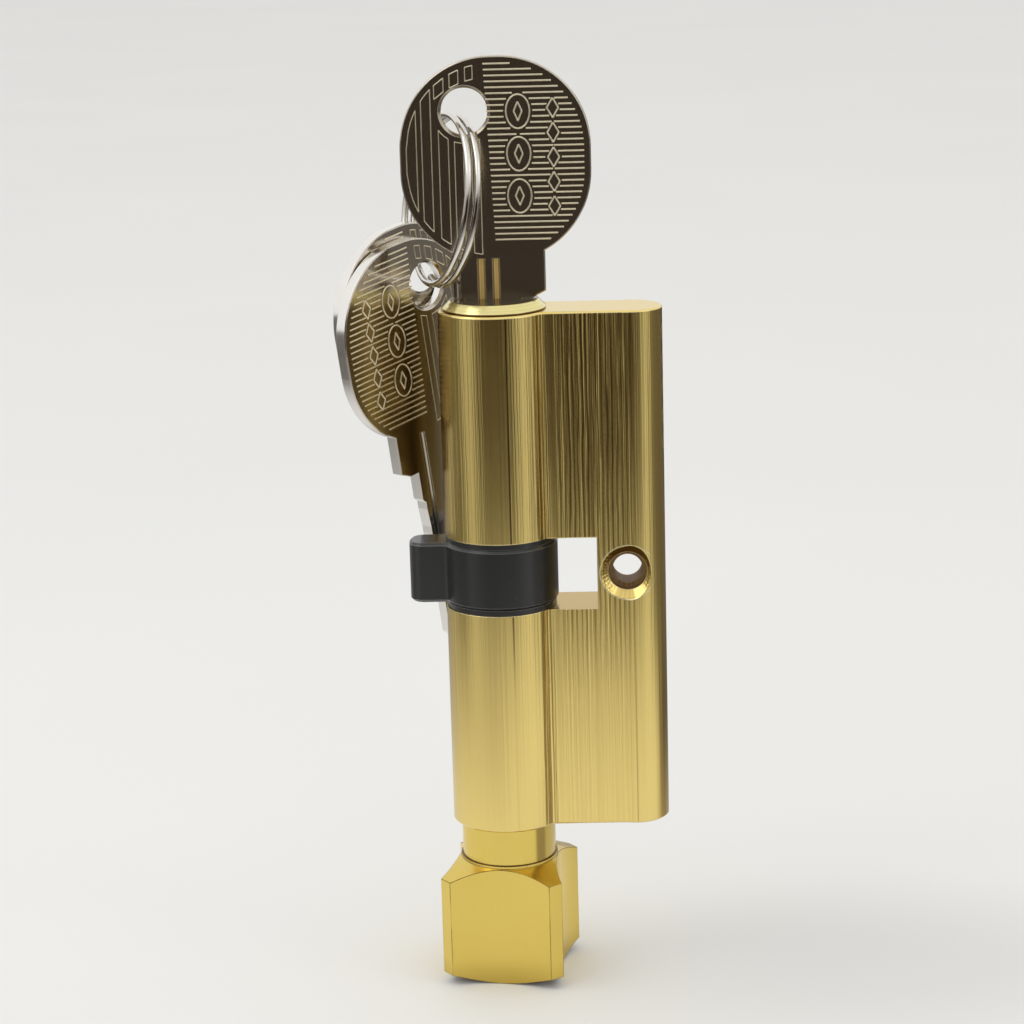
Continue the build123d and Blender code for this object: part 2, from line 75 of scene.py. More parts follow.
ahead = Vector((-math.sin(CAMERA_TURN) * math.cos(CAMERA_PITCH),
                math.cos(CAMERA_TURN) * math.cos(CAMERA_PITCH),
                -math.sin(CAMERA_PITCH)))
level = Vector((math.cos(CAMERA_TURN), math.sin(CAMERA_TURN), 0))
upright = level.cross(ahead)
right = math.cos(CAMERA_ROLL) * level + math.sin(CAMERA_ROLL) * upright
up = math.cos(CAMERA_ROLL) * upright - math.sin(CAMERA_ROLL) * level
turn = Matrix((right, up, -ahead)).transposed()

camera_data = bpy.data.cameras.new("photographers_camera")
camera_data.sensor_width = SENSOR_WIDTH
camera_data.lens = FOCAL_PIXELS * SENSOR_WIDTH / PICTURE_WIDTH
camera_data.clip_start = NEAREST
camera_data.clip_end = FARTHEST
camera = bpy.data.objects.new("photographers_camera", camera_data)
camera.matrix_world = Matrix.Translation(CAMERA_PLACE) @ turn.to_4x4()
bpy.context.scene.collection.objects.link(camera)
bpy.context.scene.camera = camera
bpy.context.scene.view_settings.view_transform = "Standard"
print("lens in mm:", round(camera_data.lens, 2))

# %% [markdown]
# ## The table
#
# The lock stands on a pale table that runs out of the picture, so the floor is a wide
# disc with no seam. White alone looks like empty space, so the paper has a slow mottle,
# a fine fibre, and a painted shadow: the soft shade that lies on it to the lower right
# of the knob. A lamp could cast that shade, but it would change the light on the brass
# as well, so the shade is painted into the paper's tone.

# %% A material and its nodes
def new_material(name):
    """A material with an empty node tree and its output."""
    material = bpy.data.materials.new(name)
    material.use_nodes = True
    tree = material.node_tree
    tree.nodes.clear()
    output = tree.nodes.new("ShaderNodeOutputMaterial")
    return material, tree, output


def fill(tree, socket, value):
    """Sets a socket to a value, or links it to another socket."""
    if isinstance(value, bpy.types.NodeSocket):
        tree.links.new(value, socket)
    else:
        socket.default_value = value


def add_node(tree, kind, **inputs):
    """A node with its inputs filled, by name, or by number as _0 and _1."""
    node = tree.nodes.new("ShaderNode" + kind)
    for name, value in inputs.items():
        key = int(name[1:]) if name[0] == "_" else name.replace("_", " ")
        fill(tree, node.inputs[key], value)
    return node


# %% Sums on numbers, vectors and colours
def maths(tree, operation, *values):
    """The result of a Math node on numbers or sockets."""
    node = tree.nodes.new("ShaderNodeMath")
    node.operation = operation
    for socket, value in zip(node.inputs, values):
        fill(tree, socket, value)
    return node.outputs[0]


def vector_maths(tree, operation, *values):
    """The result of a Vector Math node: a number for a length or a dot product, else a vector."""
    node = tree.nodes.new("ShaderNodeVectorMath")
    node.operation = operation
    for socket, value in zip(node.inputs, values):
        fill(tree, socket, value)
    return node.outputs["Value" if operation in ("LENGTH", "DOT_PRODUCT") else "Vector"]


def smooth_step(tree, value, low, high, result_low=0.0, result_high=1.0):
    """The value eased from one number to another between low and high."""
    node = add_node(tree, "MapRange", Value=value, From_Min=low, From_Max=high,
                    To_Min=result_low, To_Max=result_high)
    node.interpolation_type = "SMOOTHSTEP"
    return node.outputs["Result"]


def mix_colour(tree, factor, first, second):
    """The first colour where the factor is 0, and the second where it is 1."""
    node = tree.nodes.new("ShaderNodeMix")
    node.data_type = "RGBA"
    for socket, value in ((node.inputs[0], factor), (node.inputs[6], first), (node.inputs[7], second)):
        fill(tree, socket, (*value, 1) if isinstance(value, tuple) else value)
    return node.outputs[2]


# %% Places and noise
def object_place(tree):
    """The place on the piece, in metres, as a vector."""
    return add_node(tree, "TexCoord").outputs["Object"]


def noise(tree, place, scale, detail):
    """The grey value of a Noise texture."""
    return add_node(tree, "TexNoise", Vector=place, Scale=scale, Detail=detail).outputs["Fac"]


# %% The table
TABLE_RADIUS = 9.0
ROUND_STEPS = 96
PAPER = (0.83, 0.83, 0.815)
PAPER_LIGHT = (0.87, 0.868, 0.85)
MOTTLE_SCALE = 6.0
FIBRE_SCALE = 2500.0
FIBRE_HEIGHT = 0.00004
SHADE_PLACE = (0.06, -0.004, 0)
SHADE_REACH = (0.075, 0.045, 1)
SHADE_CORE = 0.1
SHADE_DEPTH = 0.17
SHADE_TONE = (0.1, 0.095, 0.09)


def deselect_all():
    """Leaves nothing selected and no object in edit mode."""
    if bpy.context.object and bpy.context.object.mode == "EDIT":
        bpy.ops.object.mode_set(mode="OBJECT")
    bpy.ops.object.select_all(action="DESELECT")


def add_disc(name, height):
    """A wide round sheet, level with the table and centred under the lock."""
    deselect_all()
    bpy.ops.mesh.primitive_circle_add(vertices=ROUND_STEPS, radius=TABLE_RADIUS, fill_type="NGON",
                                      location=(0, 0, height))
    disc = bpy.context.object
    bpy.ops.object.transform_apply(location=True, rotation=True, scale=True)
    disc.name = name
    return disc


table = add_disc("table", 0)
paper, tree, output = new_material("pale_paper")
where = object_place(tree)
tone = mix_colour(tree, noise(tree, where, MOTTLE_SCALE, 4.0), PAPER, PAPER_LIGHT)
from_shade = vector_maths(tree, "SUBTRACT", where, SHADE_PLACE)
from_shade = vector_maths(tree, "LENGTH", vector_maths(tree, "DIVIDE", from_shade, SHADE_REACH))
# Painted shadow: a soft shade to the lower right of the knob.
soft_shade = smooth_step(tree, from_shade, SHADE_CORE, 1.0, SHADE_DEPTH, 0.0)
tone = mix_colour(tree, soft_shade, tone, SHADE_TONE)
fibres = add_node(tree, "Bump", Strength=0.3, Distance=FIBRE_HEIGHT,
                  Height=noise(tree, where, FIBRE_SCALE, 3.0)).outputs["Normal"]
shader = add_node(tree, "BsdfPrincipled", Base_Color=tone, Roughness=0.75, Normal=fibres)
shader.inputs["Specular IOR Level"].default_value = 0.2
tree.links.new(shader.outputs[0], output.inputs["Surface"])
table.data.materials.append(paper)
print("table in m:", round(table.dimensions.x, 2), "across")

# %% [markdown]
# ## What the brass mirrors
#
# Metal shows what is round it and not its own colour, and that is what the light has to
# get right: upright brass mirrors the table in front of it, near the foot its bright
# part, and higher up the part in the photographer's shadow. That shadow could be cast
# by a solid, which would darken the table too. Here it is a dark sheet over the table
# which only reflections can see, soft at its rim. It lies in front of the lock, less
# deep at its sides, and once more behind it, so that the back looks as good.

# %% Helpers for masks
def place_on(tree):
    """The X, Y and Z sockets of the place on the piece."""
    return add_node(tree, "SeparateXYZ", Vector=object_place(tree)).outputs


def product(tree, *masks):
    """Several masks multiplied."""
    result = masks[0]
    for mask in masks[1:]:
        result = maths(tree, "MULTIPLY", result, mask)
    return result


def distance_from(tree, across, along):
    """How far a point is from an axis, from its two distances beside it."""
    squares = [maths(tree, "MULTIPLY", side, side) for side in (across, along)]
    return maths(tree, "SQRT", maths(tree, "ADD", *squares))


def dark_where(tree, output, cover, tone):
    """A sheet that shows a dark tone where it covers, and is clear elsewhere."""
    clear = add_node(tree, "BsdfTransparent").outputs[0]
    dark = add_node(tree, "Emission", Color=(*tone, 1), Strength=1.0).outputs[0]
    blended = add_node(tree, "MixShader", _0=cover, _1=clear, _2=dark)
    tree.links.new(blended.outputs[0], output.inputs["Surface"])


# %% The dark sheet: its lobe to the front, and its two flanks
SHEET_HEIGHT = 0.0002
SHEET_TONE = (0.06, 0.048, 0.037)
MIDDLE_HALF = 0.1    # the left half passes into the right one over this much to each side
SHADE_NEAR, SHADE_FULL = 0.065, 0.38
LOBE_SOFT, LOBE_FULL = 0.5, 0.93
LOBE_REST_LEFT, LOBE_REST_RIGHT = 0.42, 0.28
FLANK_SOFT, FLANK_FULL = 0.87, 0.97
FLANK_NEAR, FLANK_FAR = 0.1, 0.26
FLANK_SHARE = 0.88
RIGHT_SHARE = 0.95
shade_sheet = add_disc("photographers_shadow", SHEET_HEIGHT)
shade, tree, output = new_material("shaded_table")
place = place_on(tree)
across, along = place["X"], place["Y"]
reach = distance_from(tree, across, along)
forward = maths(tree, "DIVIDE", maths(tree, "ABSOLUTE", along), reach)
rest = smooth_step(tree, across, -MIDDLE_HALF, MIDDLE_HALF, LOBE_REST_LEFT, LOBE_REST_RIGHT)
cover = product(tree, smooth_step(tree, reach, SHADE_NEAR, SHADE_FULL),
                smooth_step(tree, forward, LOBE_SOFT, LOBE_FULL, rest, 1.0))
sideways = maths(tree, "DIVIDE", maths(tree, "ABSOLUTE", across), reach)
flank = product(tree, smooth_step(tree, sideways, FLANK_SOFT, FLANK_FULL, 0.0, FLANK_SHARE),
                smooth_step(tree, reach, FLANK_NEAR, FLANK_FAR),
                smooth_step(tree, across, -MIDDLE_HALF, MIDDLE_HALF, 1.0, RIGHT_SHARE))
cover = maths(tree, "MAXIMUM", cover, flank)
print("the sheet's shade begins, in mm from the axis:", round(SHADE_NEAR / MM))

# %% The dark sheet: a faint ring on the left, and the part behind the lock
LEFT_FULL, LEFT_SOFT = -0.3, 0.25
LEFT_NEAR, LEFT_FAR = 0.06, 0.14
LEFT_FADE, LEFT_END = 0.26, 0.36
LEFT_SHARE, LEFT_REST = 0.25, 0.2
BACK_SOFT, BACK_FULL = 0.7, 0.9
BACK_NEAR, BACK_FAR = 0.03, 0.16
BACK_SHARE = 0.85
leftness = maths(tree, "DIVIDE", across, reach)
left = product(tree, smooth_step(tree, leftness, LEFT_FULL, LEFT_SOFT, LEFT_SHARE, 0.0),
               smooth_step(tree, reach, LEFT_NEAR, LEFT_FAR),
               smooth_step(tree, reach, LEFT_FADE, LEFT_END, 1.0, LEFT_REST))
cover = maths(tree, "ADD", cover, maths(tree, "MULTIPLY", left, maths(tree, "SUBTRACT", 1.0, cover)))
diagonal = maths(tree, "MULTIPLY", reach, math.sqrt(2))
behind = maths(tree, "DIVIDE", maths(tree, "ADD", along, across), diagonal)
corner = product(tree, smooth_step(tree, behind, BACK_SOFT, BACK_FULL, 0.0, BACK_SHARE),
                 smooth_step(tree, reach, BACK_NEAR, BACK_FAR))
cover = maths(tree, "MAXIMUM", cover, corner)
dark_where(tree, output, cover, SHEET_TONE)
shade_sheet.data.materials.append(shade)
print("nodes that shape the shade:", len(tree.nodes))

# %% A dark screen far off, seen only in reflections: painted shade for the dim room behind the photographer
SCREEN_REACH = 2.5
SCREEN_TOP = 1.1
SCREEN_FADE = 0.5
SCREEN_FULL, SCREEN_END = 0.35, 0.9
SCREEN_TONE = (0.045, 0.036, 0.028)
room_dark, tree, output = new_material("dark_room")
place = place_on(tree)
sideways = maths(tree, "DIVIDE", maths(tree, "ABSOLUTE", place["X"]), SCREEN_REACH)
cover = product(tree, smooth_step(tree, sideways, SCREEN_FULL, SCREEN_END, 1.0, 0.0),
                smooth_step(tree, place["Z"], SCREEN_FADE, SCREEN_TOP, 1.0, 0.0),
                maths(tree, "LESS_THAN", place["Y"], 0.0))
dark_where(tree, output, cover, SCREEN_TONE)
deselect_all()
bpy.ops.mesh.primitive_cylinder_add(vertices=ROUND_STEPS, radius=SCREEN_REACH, depth=SCREEN_TOP,
                                    end_fill_type="NOTHING", location=(0, 0, SCREEN_TOP / 2))
screen = bpy.context.object
bpy.ops.object.transform_apply(location=True, rotation=True, scale=True)
screen.name = "dark_screen"
screen.data.materials.append(room_dark)
for sheet in (shade_sheet, screen):
    sheet.visible_camera = False
    sheet.visible_diffuse = False
    sheet.visible_shadow = False
    sheet.visible_transmission = False
print("screen in m:", round(screen.dimensions.x, 2), "across and", round(screen.dimensions.z, 2), "high")

# %% [markdown]
# ## Light
#
# The picture has no hard shadow and no bright spot, so the light is a white room: an
# even background that comes from everywhere. Two large weak windows, high on the left
# and lower on the right, give the round parts their slight difference of sides.

# %% Soft light all round, and two windows
ROOM_TONE = (1.0, 0.995, 0.985)
ROOM_STRENGTH = 0.925
WINDOW_AIM = Vector((0, 0, 0.07))
WINDOWS = {"window_left": ((-0.9, -0.35, 1.25), (0.9, 0.9), 2.8),
           "window_right": ((1.1, -0.5, 0.9), (0.5, 0.8), 0.8)}
world = bpy.data.worlds.new("white_room")
bpy.context.scene.world = world
world.use_nodes = True
room = world.node_tree.nodes["Background"]
room.inputs["Color"].default_value = (*ROOM_TONE, 1)
room.inputs["Strength"].default_value = ROOM_STRENGTH
for name, (window_place, size, power) in WINDOWS.items():
    light = bpy.data.lights.new(name, "AREA")
    light.shape = "RECTANGLE"
    light.size, light.size_y = size
    light.energy = power
    lamp = bpy.data.objects.new(name, light)
    lamp.location = window_place
    lamp.rotation_euler = (WINDOW_AIM - Vector(window_place)).to_track_quat("-Z", "Y").to_euler()
    bpy.context.scene.collection.objects.link(lamp)
    print(name, "in W:", power)

# %% [markdown]
# ## Metal finishes
#
# Drawn brass has fine lines along its length, turned brass has rings, and pressed steel
# has a grain in no direction. A scratch picture could give all three, but it would need
# unwrapping and would blur close up. So each is a node group of noise, stretched in the
# direction of the tool, that several materials can use with their own values. The
# groups put out a height for the bump and masks for the colour and the roughness.

# %% A node group, and how a material uses it
def new_group(name, inputs, outputs):
    """An empty shader node group with number sockets, and vectors where the kind says so."""
    group = bpy.data.node_groups.new(name, "ShaderNodeTree")
    for label, value in inputs.items():
        socket = group.interface.new_socket(name=label, in_out="INPUT", socket_type="NodeSocketFloat")
        socket.default_value = value
    for label, kind in outputs.items():
        group.interface.new_socket(name=label, in_out="OUTPUT", socket_type="NodeSocket" + kind)
    entry = group.nodes.new("NodeGroupInput").outputs
    leave = group.nodes.new("NodeGroupOutput").inputs
    return group, entry, leave


def use_group(tree, group, inputs):
    """The sockets that the group puts out, in a material, with the material's own values."""
    node = tree.nodes.new("ShaderNodeGroup")
    node.node_tree = group
    for name, value in inputs.items():
        fill(tree, node.inputs[name], value)
    return node.outputs


def put_out(group, leave, results):
    """Links each result to the group's socket of its name."""
    for name, result in results.items():
        group.links.new(result, leave[name])
    print(group.name, "puts out", ", ".join(results))


# %% Lines along the height: stretched noise, bent a little, so that lines run together and part
PER_MM = 1.0 / MM
drawn_lines, entry, leave = new_group(
    "drawn_lines", {"Lines per mm": 3.0, "Length": 0.01, "Wander": 0.0001},
    {"Height": "Float", "Streaks": "Float", "Deep lines": "Float", "Bands": "Float", "Rows": "Float"})
where = object_place(drawn_lines)
slow = vector_maths(drawn_lines, "MULTIPLY", where, (1.0, 1.0, 0.12))
sway = add_node(drawn_lines, "TexNoise", Vector=slow, Scale=700.0, Detail=2.0).outputs["Color"]
centred = vector_maths(drawn_lines, "SUBTRACT", sway, (0.5, 0.5, 0.5))
swing = vector_maths(drawn_lines, "MULTIPLY", centred, entry["Wander"])
bent = vector_maths(drawn_lines, "ADD", where, swing)
squeeze = add_node(drawn_lines, "CombineXYZ", X=1.0, Y=1.0, Z=entry["Length"]).outputs[0]
stretched = vector_maths(drawn_lines, "MULTIPLY", bent, squeeze)
per_metre = maths(drawn_lines, "MULTIPLY", entry["Lines per mm"], PER_MM)
fine = noise(drawn_lines, stretched, per_metre, 1.0)
coarse = noise(drawn_lines, stretched, maths(drawn_lines, "MULTIPLY", per_metre, 0.5), 1.0)
wide = noise(drawn_lines, stretched, maths(drawn_lines, "MULTIPLY", per_metre, 0.075), 1.0)
both = maths(drawn_lines, "ADD", maths(drawn_lines, "MULTIPLY", fine, 0.35),
             maths(drawn_lines, "MULTIPLY", coarse, 0.65))
flattened = vector_maths(drawn_lines, "MULTIPLY", where, (1.0, 1.0, 0.13))
rows = add_node(drawn_lines, "TexWave", Vector=flattened, Scale=440.0, Distortion=4.0,
                Detail=2.0, Detail_Scale=1.1).outputs["Fac"]
put_out(drawn_lines, leave, {
    "Height": both, "Streaks": smooth_step(drawn_lines, both, 0.45, 0.55),
    "Deep lines": smooth_step(drawn_lines, coarse, 0.57, 0.65), "Bands": wide,
    "Rows": smooth_step(drawn_lines, rows, 0.12, 0.5, 1.0, 0.0)})

# %% Rings about the lock's own axis: noise read along the distance from it
turned_rings, entry, leave = new_group(
    "turned_rings", {"Rings per mm": 6.0}, {"Height": "Float", "Streaks": "Float"})
place = place_on(turned_rings)
from_axis = distance_from(turned_rings, place["X"], place["Y"])
section = add_node(turned_rings, "CombineXYZ", X=from_axis, Y=place["Z"], Z=0.0).outputs[0]
rings = noise(turned_rings, section, maths(turned_rings, "MULTIPLY", entry["Rings per mm"], PER_MM), 2.0)
put_out(turned_rings, leave, {"Height": rings, "Streaks": smooth_step(turned_rings, rings, 0.35, 0.65)})

# %% Handling marks: small specks and hair scratches in no direction
handling, entry, leave = new_group(
    "handling_marks", {"Amount": 0.5}, {"Specks": "Float", "Scratches": "Float", "Clouds": "Float"})
where = object_place(handling)
cells = add_node(handling, "TexVoronoi", Vector=where, Scale=420.0).outputs["Distance"]
hairs = add_node(handling, "TexWave", Vector=where, Scale=330.0, Distortion=9.0, Detail=2.0).outputs["Fac"]
gate = noise(handling, where, 160.0, 2.0)
specks = product(handling, smooth_step(handling, cells, 0.03, 0.09, 1.0, 0.0),
                 smooth_step(handling, gate, 0.56, 0.66), entry["Amount"])
scratches = product(handling, smooth_step(handling, hairs, 0.985, 0.998),
                    smooth_step(handling, gate, 0.60, 0.70), entry["Amount"])
put_out(handling, leave, {"Specks": specks, "Scratches": scratches,
                          "Clouds": noise(handling, where, 110.0, 4.0)})

# %% Edges, where materials paint a highlight or, on the knob, a darker tone: where a rounded normal leaves the true one, there is an edge
EDGE_SAMPLES = 6
found_edges, entry, leave = new_group(
    "found_edges", {"Radius": 0.0003}, {"Edge": "Float", "Normal": "Vector"})
rounded = add_node(found_edges, "Bevel", Radius=entry["Radius"])
rounded.samples = EDGE_SAMPLES
true_normal = add_node(found_edges, "NewGeometry").outputs["Normal"]
match = vector_maths(found_edges, "DOT_PRODUCT", rounded.outputs[0], true_normal)
edge = smooth_step(found_edges, maths(found_edges, "SUBTRACT", 1.0, match), 0.004, 0.08)
put_out(found_edges, leave, {"Edge": edge, "Normal": rounded.outputs[0]})

# %% [markdown]
# ## Stains, painted shade and painted highlights
#
# No metal is one tone all over: a seam is dark and cut grooves show bare brass, while
# painted shade lies where bevels face the dark floor and where parts meet, and painted
# highlights lie on rims and edges. Painting them by hand would need a picture, so each
# spot is a mask made from where a point is on the piece or which way it faces, with a
# tone of its own and, for bare brass in a groove, a share by which it is less of a mirror.

# %% Measures of the lock, from the frame
HEAD_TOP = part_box("key_plug")[1].z
BAR_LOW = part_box("housing")[0].z
BAR_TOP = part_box("housing")[1].z
COLLAR_TOP = 19.35 * MM
KEY_SHOULDER = round(HEAD_TOP / MM, 2) + 0.1    # in millimetres, as all measures of a key
SPARE_YAW = math.radians(49.0)
PLATE_NORMAL = (math.sin(SPARE_YAW), -math.cos(SPARE_YAW), 0.0)
print("bar in mm:", round(BAR_LOW / MM, 2), "to", round(BAR_TOP / MM, 2), "head:", round(HEAD_TOP / MM, 2))


# %% Masks by place and by direction
def facing_of(tree):
    """The X, Y and Z sockets of the direction that the surface faces."""
    return add_node(tree, "SeparateXYZ", Vector=add_node(tree, "NewGeometry").outputs["Normal"]).outputs


def near(tree, value, middle, half, soft):
    """One where the value is within half of the middle, and nothing past a soft rim."""
    distance = maths(tree, "ABSOLUTE", maths(tree, "SUBTRACT", value, middle))
    return smooth_step(tree, distance, half, half + soft, 1.0, 0.0)


# %% The plug's dark end, the knob's seam, and painted shade on both
PLUG_END = (0.1, 0.06, 0.025)
PLUG_RIM_SHADE = (0.2, 0.12, 0.04)
# Tones of painted shade on the knob; the seam's tone also serves painted shade.
FOOT_TONE = (0.45, 0.32, 0.07)
BEVEL_TONE = (0.34, 0.24, 0.06)
BAND_TONE = (0.25, 0.16, 0.05)
FLANK_TONE = (0.45, 0.32, 0.12)
SEAM_AND_SHADE_TONE = (0.14, 0.08, 0.025)


def plug_end_and_rim_shade(tree):
    """The plug's flat end is painted dark, and the rim that sits on the housing takes painted shade."""
    height = place_on(tree)["Z"]
    end = smooth_step(tree, height, HEAD_TOP - 0.06 * MM, HEAD_TOP - 0.02 * MM, 0.0, 0.85)
    # Painted shade in the gap where the rim sits on the housing.
    rim = near(tree, height, BAR_TOP + 0.05 * MM, 0.16 * MM, 0.08 * MM)
    return [(end, PLUG_END, 0), (rim, PLUG_RIM_SHADE, 0)]


def knob_seam_and_shade(tree):
    """A dark seam at the collar, and painted shade: at the neck's end by the housing, on faces turned down,
    towards the foot, on the upper bevels more to the right, and in a band and on the right flank of the
    neck.
    """
    place, facing = place_on(tree), facing_of(tree)
    across, height = place["X"], place["Z"]
    seam = near(tree, height, COLLAR_TOP, 0.05 * MM, 0.06 * MM)
    # Painted shade at the neck's end by the housing, under faces turned down, and towards the foot.
    neck_end = smooth_step(tree, height, BAR_LOW - 0.3 * MM, BAR_LOW - 0.2 * MM)
    under = smooth_step(tree, facing["Z"], -0.3, -0.1, 1.0, 0.0)
    foot = smooth_step(tree, height, 0.5 * MM, 5 * MM, 0.45, 0.0)
    # Painted shade on the upper bevels, more to the right, and a dark band and a darker flank on the neck.
    bevel = product(tree, smooth_step(tree, facing["Z"], 0.15, 0.35),
                    smooth_step(tree, height, 16 * MM, 16.5 * MM),
                    smooth_step(tree, across, -5 * MM, 7 * MM, 0.1, 0.4))
    on_neck = smooth_step(tree, height, COLLAR_TOP + 0.05 * MM, COLLAR_TOP + 0.15 * MM)
    band = product(tree, on_neck, near(tree, across, 5.05 * MM, 0.4 * MM, 0.6 * MM), 0.75)
    flank = product(tree, on_neck, smooth_step(tree, across, 5.0 * MM, 6.4 * MM, 0.0, 0.35))
    return [(foot, FOOT_TONE, 0), (bevel, BEVEL_TONE, 0), (band, BAND_TONE, 0), (flank, FLANK_TONE, 0),
            (seam, SEAM_AND_SHADE_TONE, 0), (neck_end, SEAM_AND_SHADE_TONE, 0), (under, SEAM_AND_SHADE_TONE, 0)]


# %% The cam's darker hub, the ring's painted shade, the keys' bare brass grooves and their rims' painted highlight
BLACK_DEEP = (0.006, 0.006, 0.006)
WIRE_SIDE_SHADE = (0.2, 0.16, 0.12)
GROOVES = ((-1.7 * MM, 0.28 * MM), (0.5 * MM, 0.26 * MM))
GROOVE_SOFT = 0.16 * MM
GROOVE_TOP = (KEY_SHOULDER + 6.1) * MM
BARE_AND_MIRRORED_BRASS = (0.8, 0.56, 0.17)
RIM_HIGHLIGHT = (0.88, 0.86, 0.82)


def cam_hub_darkening(tree):
    """The cam is painted darker round its hub than on its nose."""
    return [(smooth_step(tree, place_on(tree)["X"], -9 * MM, -5 * MM, 0.0, 0.6), BLACK_DEEP, 0)]


def ring_side_shade(tree):
    """Painted shade: the wire is darker where it faces sideways."""
    steepness = maths(tree, "ABSOLUTE", facing_of(tree)["Z"])
    return [(smooth_step(tree, steepness, 0.1, 0.45, 0.75, 0.0), WIRE_SIDE_SHADE, 0)]


def groove_brass_and_reflection(tree):
    """The grooves of the key in the plug show brass near the plug: bare brass where they are cut, and a
    painted reflection of the plug's brass.
    """
    place = place_on(tree)
    left, right = (near(tree, place["X"], middle, half, GROOVE_SOFT) for middle, half in GROOVES)
    grooves = maths(tree, "ADD", left, right)
    sunk = smooth_step(tree, place["Y"], -0.97 * MM, -0.9 * MM)
    low = smooth_step(tree, place["Z"], GROOVE_TOP, GROOVE_TOP + 0.3 * MM, 1.0, 0.0)
    return [(product(tree, grooves, sunk, low, 0.9), BARE_AND_MIRRORED_BRASS, 0.75)]


def rim_highlight(tree):
    """A painted highlight: a spare key's rim is brighter than its plate. The plate's own direction tells
    them apart.
    """
    facing = add_node(tree, "TexCoord").outputs["Normal"]
    plateness = maths(tree, "ABSOLUTE", vector_maths(tree, "DOT_PRODUCT", facing, PLATE_NORMAL))
    return [(smooth_step(tree, plateness, 0.3, 0.8, 1.0, 0.0), RIM_HIGHLIGHT, 0)]


# %% One recipe for every bare metal
PRESSED_SCALE = 9000.0


def plus(tree, value, mask, share):
    """A value with a share of a mask added to it."""
    return maths(tree, "MULTIPLY_ADD", mask, share, value)


def metal(name, colour, tint, roughness, grain=None, grain_inputs=None, lift=0.00001,
          streak_share=0.5, edge_colour=None, edge_radius=0.0002, edge_breaks=False, marks=0.5,
          speck_colour=None, stains_and_painted_light=None):
    """A metal with a grain, handling marks, and edges in a tone of their own: mostly a painted highlight,
    on the knob darker. The tint is the grain's darker colour.
    """
    material, tree, output = new_material(name)
    wear = use_group(tree, handling, {"Amount": marks})
    edges = use_group(tree, found_edges, {"Radius": edge_radius})
    clouds = wear["Clouds"]
    if grain is None:
        height, streaks = noise(tree, object_place(tree), PRESSED_SCALE, 2.0), clouds
    else:
        lines = use_group(tree, grain, grain_inputs)
        height, streaks = lines["Height"], lines["Streaks"]
    base = mix_colour(tree, maths(tree, "MULTIPLY", streaks, streak_share), colour, tint)
    base = mix_colour(tree, maths(tree, "MULTIPLY", clouds, 0.15), base, tint)
    base = mix_colour(tree, wear["Specks"], base, speck_colour or tuple(0.4 * c for c in tint))
    # The edges' tone is a painted highlight on most metals, and a darker tone on the knob.
    if edge_colour is not None:
        edge = edges["Edge"]
        if edge_breaks:
            edge = maths(tree, "MULTIPLY", edge, smooth_step(tree, clouds, 0.4, 0.52, 0.35, 1.0))
        base = mix_colour(tree, edge, base, edge_colour)
    metallic = 1.0
    # Each mark is a stain, bare brass, painted shade or a painted highlight, with its own mask.
    for mask, mark_tone, satin in stains_and_painted_light(tree) if stains_and_painted_light else ():
        base = mix_colour(tree, mask, base, mark_tone)
        if satin:
            metallic = plus(tree, metallic, mask, -satin)
    rough = plus(tree, plus(tree, roughness, clouds, 0.08), wear["Scratches"], 0.15)
    bump = add_node(tree, "Bump", Strength=1.0, Distance=lift, Height=height,
                    Normal=edges["Normal"]).outputs["Normal"]
    shader = add_node(tree, "BsdfPrincipled", Base_Color=base, Metallic=metallic,
                      Roughness=rough, Normal=bump)
    tree.links.new(shader.outputs[0], output.inputs["Surface"])
    print(name, "nodes:", len(tree.nodes))
    return material


# %% The finishes in brass
BRASS = (0.9, 0.7, 0.25)
BRASS_DEEP = (0.42, 0.28, 0.085)
BRASS_EDGE = (0.96, 0.86, 0.5)
# Its edges carry a painted highlight.
turned_brass = metal("turned_brass", (0.88, 0.79, 0.37), (0.62, 0.5, 0.18), 0.13, turned_rings,
                     {"Rings per mm": 7.0}, lift=0.000002, streak_share=0.3, edge_colour=BRASS_EDGE,
                     stains_and_painted_light=plug_end_and_rim_shade)
knob_brass = metal("knob_brass", (0.83, 0.63, 0.16), (0.7, 0.5, 0.1), 0.18, lift=0.0000004,
                   streak_share=0.15, edge_colour=(0.08, 0.045, 0.015), edge_radius=0.00022,
                   edge_breaks=True, stains_and_painted_light=knob_seam_and_shade)
pin_brass = metal("pin_brass", (0.85, 0.65, 0.24), (0.6, 0.42, 0.12), 0.25, lift=0.0000004)

# %% The finishes in steel and nickel
NICKEL_EDGE = (0.8, 0.76, 0.68)
NICKEL_EDGE_RADIUS = 0.00012
# Its edges carry a painted highlight.
black_steel = metal("black_steel", (0.022, 0.023, 0.022), (0.016, 0.017, 0.017), 0.27,
                    lift=0.0000006, edge_colour=(0.42, 0.42, 0.4), edge_radius=0.00014, marks=0.6,
                    speck_colour=(0.2, 0.2, 0.19), stains_and_painted_light=cam_hub_darkening)
blacking = black_steel.node_tree.nodes["Principled BSDF"].inputs
blacking["Metallic"].default_value = 0.0
blacking["Coat Weight"].default_value = 0.25
blacking["Coat Roughness"].default_value = 0.12
spring_wire = metal("spring_wire", (0.6, 0.6, 0.6), (0.4, 0.4, 0.4), 0.3, lift=0.0000004)
ring_steel = metal("ring_steel", (0.82, 0.8, 0.76), (0.66, 0.63, 0.58), 0.05, lift=0.0000003,
                   stains_and_painted_light=ring_side_shade)
